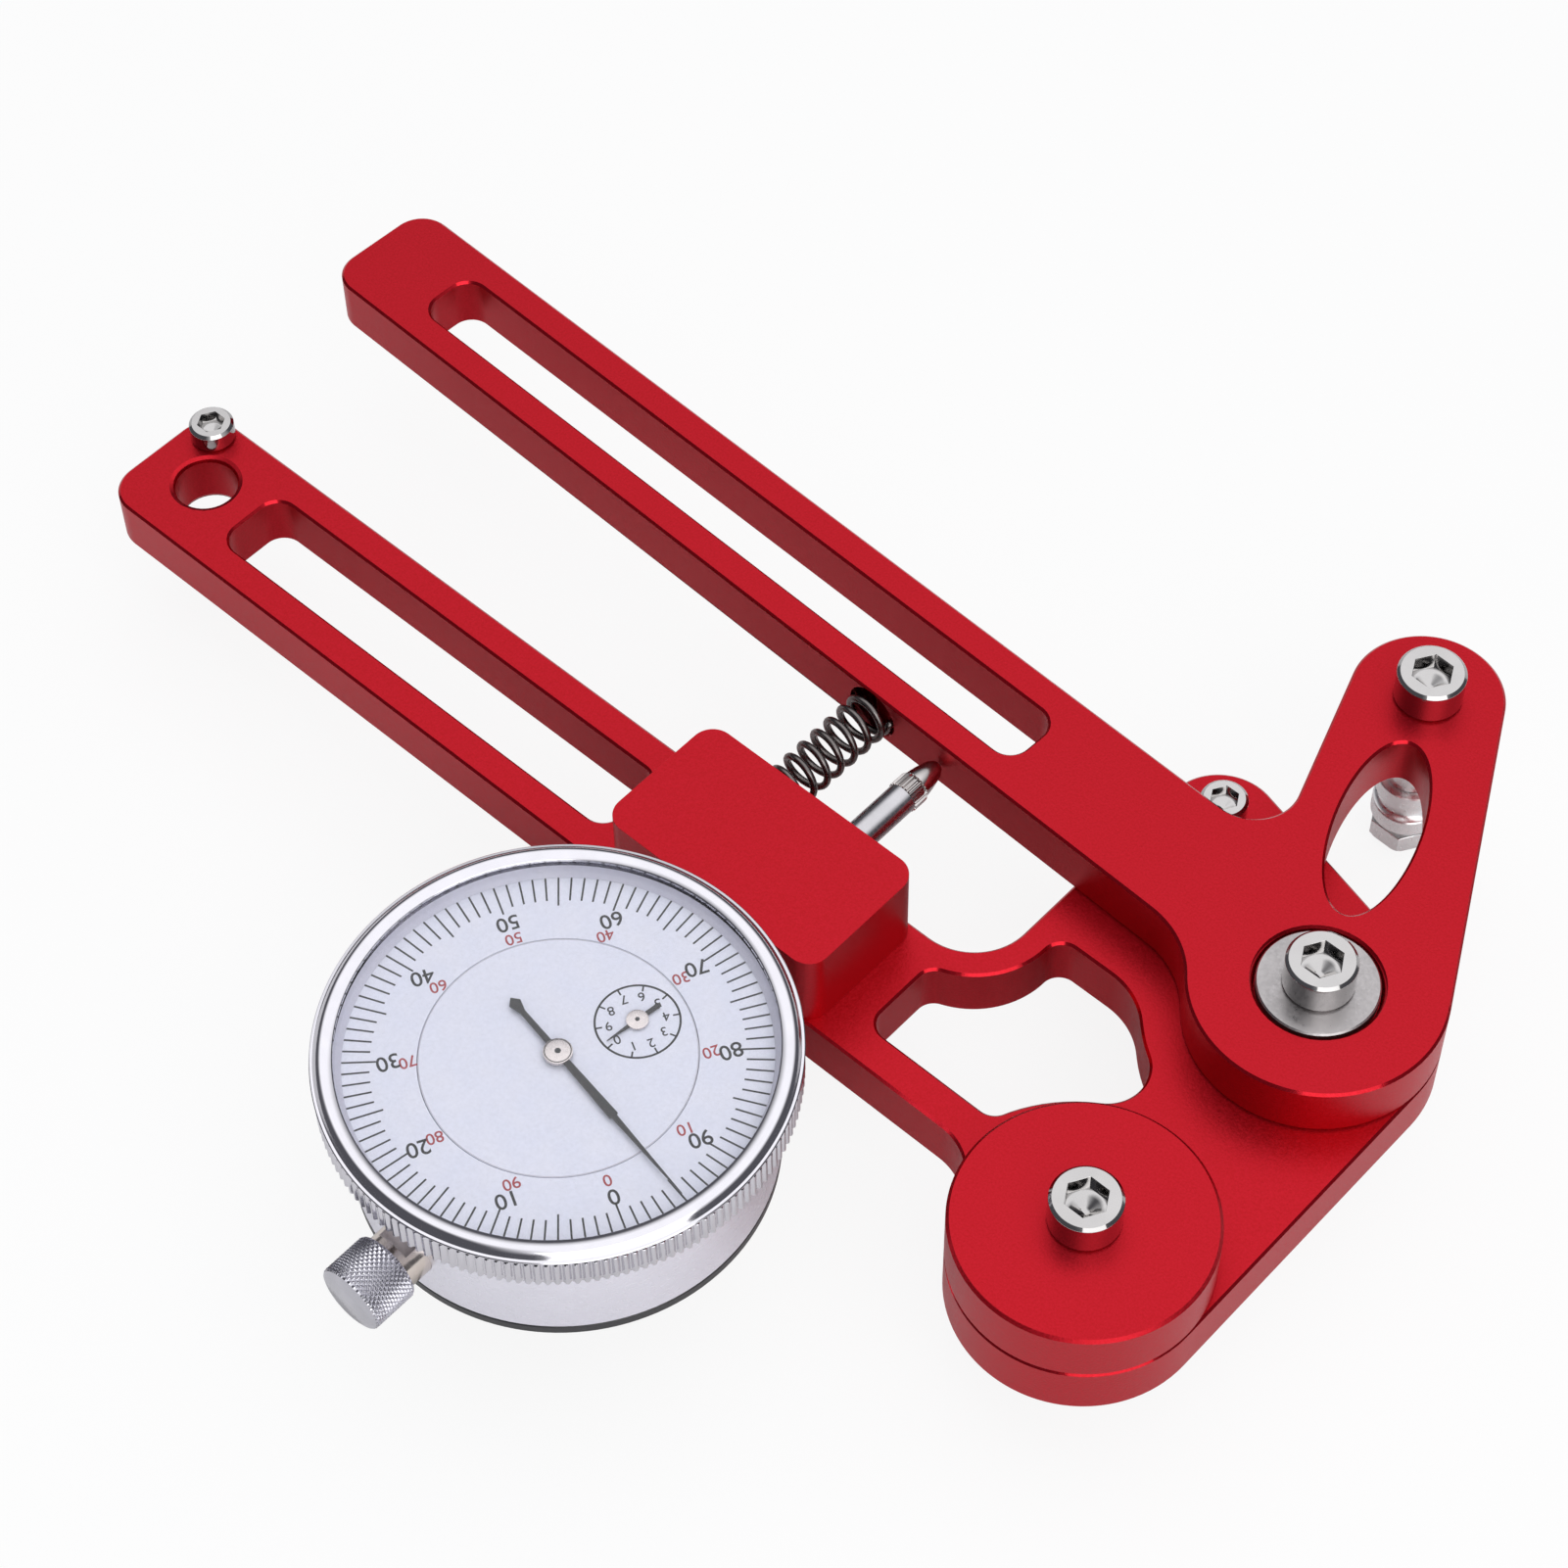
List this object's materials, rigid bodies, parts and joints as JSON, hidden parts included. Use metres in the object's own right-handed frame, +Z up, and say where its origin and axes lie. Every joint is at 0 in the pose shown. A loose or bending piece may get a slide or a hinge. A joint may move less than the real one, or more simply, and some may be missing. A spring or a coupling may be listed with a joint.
{
  "type": "spoke tension meter",
  "caption": "Hand-held bicycle spoke tension meter: two slotted handles on a pivot, grooved rollers below that bend the spoke, a return spring and a dial gauge with a turning bezel.",
  "frame": {"origin": "on the lever's pivot axis, in the plane of the rollers' grooves, where the spoke runs", "axes": "+X along the frame's handle towards the head, +Y from the gauge to the lever, +Z up along the pivot, from the rollers to the dial's face"},
  "size_m": [0.1924, 0.1628, 0.0402],
  "materials": {
    "red_plate": "satin red anodised, bead blasted",
    "bright_steel": "polished",
    "plain_steel": "satin",
    "silver": "satin",
    "black_plastic": "satin",
    "black_wire": "blackened",
    "dial_paper": "satin white print",
    "hand_black": "satin",
    "clear_window": "clear"
  },
  "bodies": {
    "frame": {"frame_plate": "red_plate", "gauge_block": "red_plate", "block_screws": "bright_steel", "spacer_disc": "red_plate", "pivot_bushing": "plain_steel", "frame_bolts": "bright_steel", "frame_washers": "bright_steel", "frame_nuts": "bright_steel", "close_stop": "bright_steel", "open_stop": "bright_steel", "gauge_case": "silver", "gauge_back": "black_plastic", "gauge_stem": "bright_steel", "cap_tube": "bright_steel", "dust_cap": "bright_steel", "dial_plate": "dial_paper", "spring": "black_wire"},
    "lever": {"lever": "red_plate", "arm_bolt": "bright_steel", "arm_spacer": "plain_steel", "arm_nut": "bright_steel"},
    "spindle": {"spindle": "plain_steel", "contact_point": "plain_steel"},
    "bezel": {"bezel": "silver", "crystal": "clear_window", "scale_ring": "dial_paper"},
    "long_hand": {"long_hand": "hand_black"},
    "short_hand": {"short_hand": "hand_black"},
    "roller_fixed": {"roller_fixed": "plain_steel"},
    "roller_pivot": {"roller_pivot": "plain_steel"},
    "roller_arm": {"roller_arm": "plain_steel"}
  },
  "joints": [
    {"name": "lever_hinge", "type": "hinge", "parent": "frame", "child": "lever", "pos_m": [0, 0, 0.0166], "axis": [0, 0, 1], "range_deg": [0, 8.05], "stiffness_Nm_per_rad": 3, "springref_deg": -2.86, "deforming": ["spring"]},
    {"name": "spindle_slide", "type": "slide", "parent": "frame", "child": "spindle", "axis": [0, -1, 0], "range_m": [0, 0.0083]},
    {"name": "bezel_turn", "type": "hinge", "parent": "frame", "child": "bezel", "pos_m": [-0.05795, -0.0725, 0.0278], "axis": [0, 0, 1], "continuous": true},
    {"name": "long_hand_turn", "type": "hinge", "parent": "frame", "child": "long_hand", "pos_m": [-0.05795, -0.0725, 0.0278], "axis": [0, 0, 1], "range_deg": [-3000, 10]},
    {"name": "short_hand_turn", "type": "hinge", "parent": "frame", "child": "short_hand", "pos_m": [-0.0543, -0.06275, 0.0278], "axis": [0, 0, 1], "range_deg": [-10, 300]},
    {"name": "fixed_roller_spin", "type": "hinge", "parent": "frame", "child": "roller_fixed", "pos_m": [0, -0.0445, 0], "axis": [0, 0, 1], "continuous": true},
    {"name": "pivot_roller_spin", "type": "hinge", "parent": "frame", "child": "roller_pivot", "pos_m": [0, 0, 0], "axis": [0, 0, 1], "continuous": true},
    {"name": "arm_roller_spin", "type": "hinge", "parent": "lever", "child": "roller_arm", "pos_m": [-0.01658, 0.04441, 0], "axis": [0, 0, 1], "continuous": true}
  ],
  "couplings": [
    {"joint": "spindle_slide", "follows": "lever_hinge", "m_per_rad": 0.05824},
    {"joint": "long_hand_turn", "follows": "lever_hinge", "ratio": -365.93},
    {"joint": "short_hand_turn", "follows": "lever_hinge", "ratio": 36.593}
  ]
}
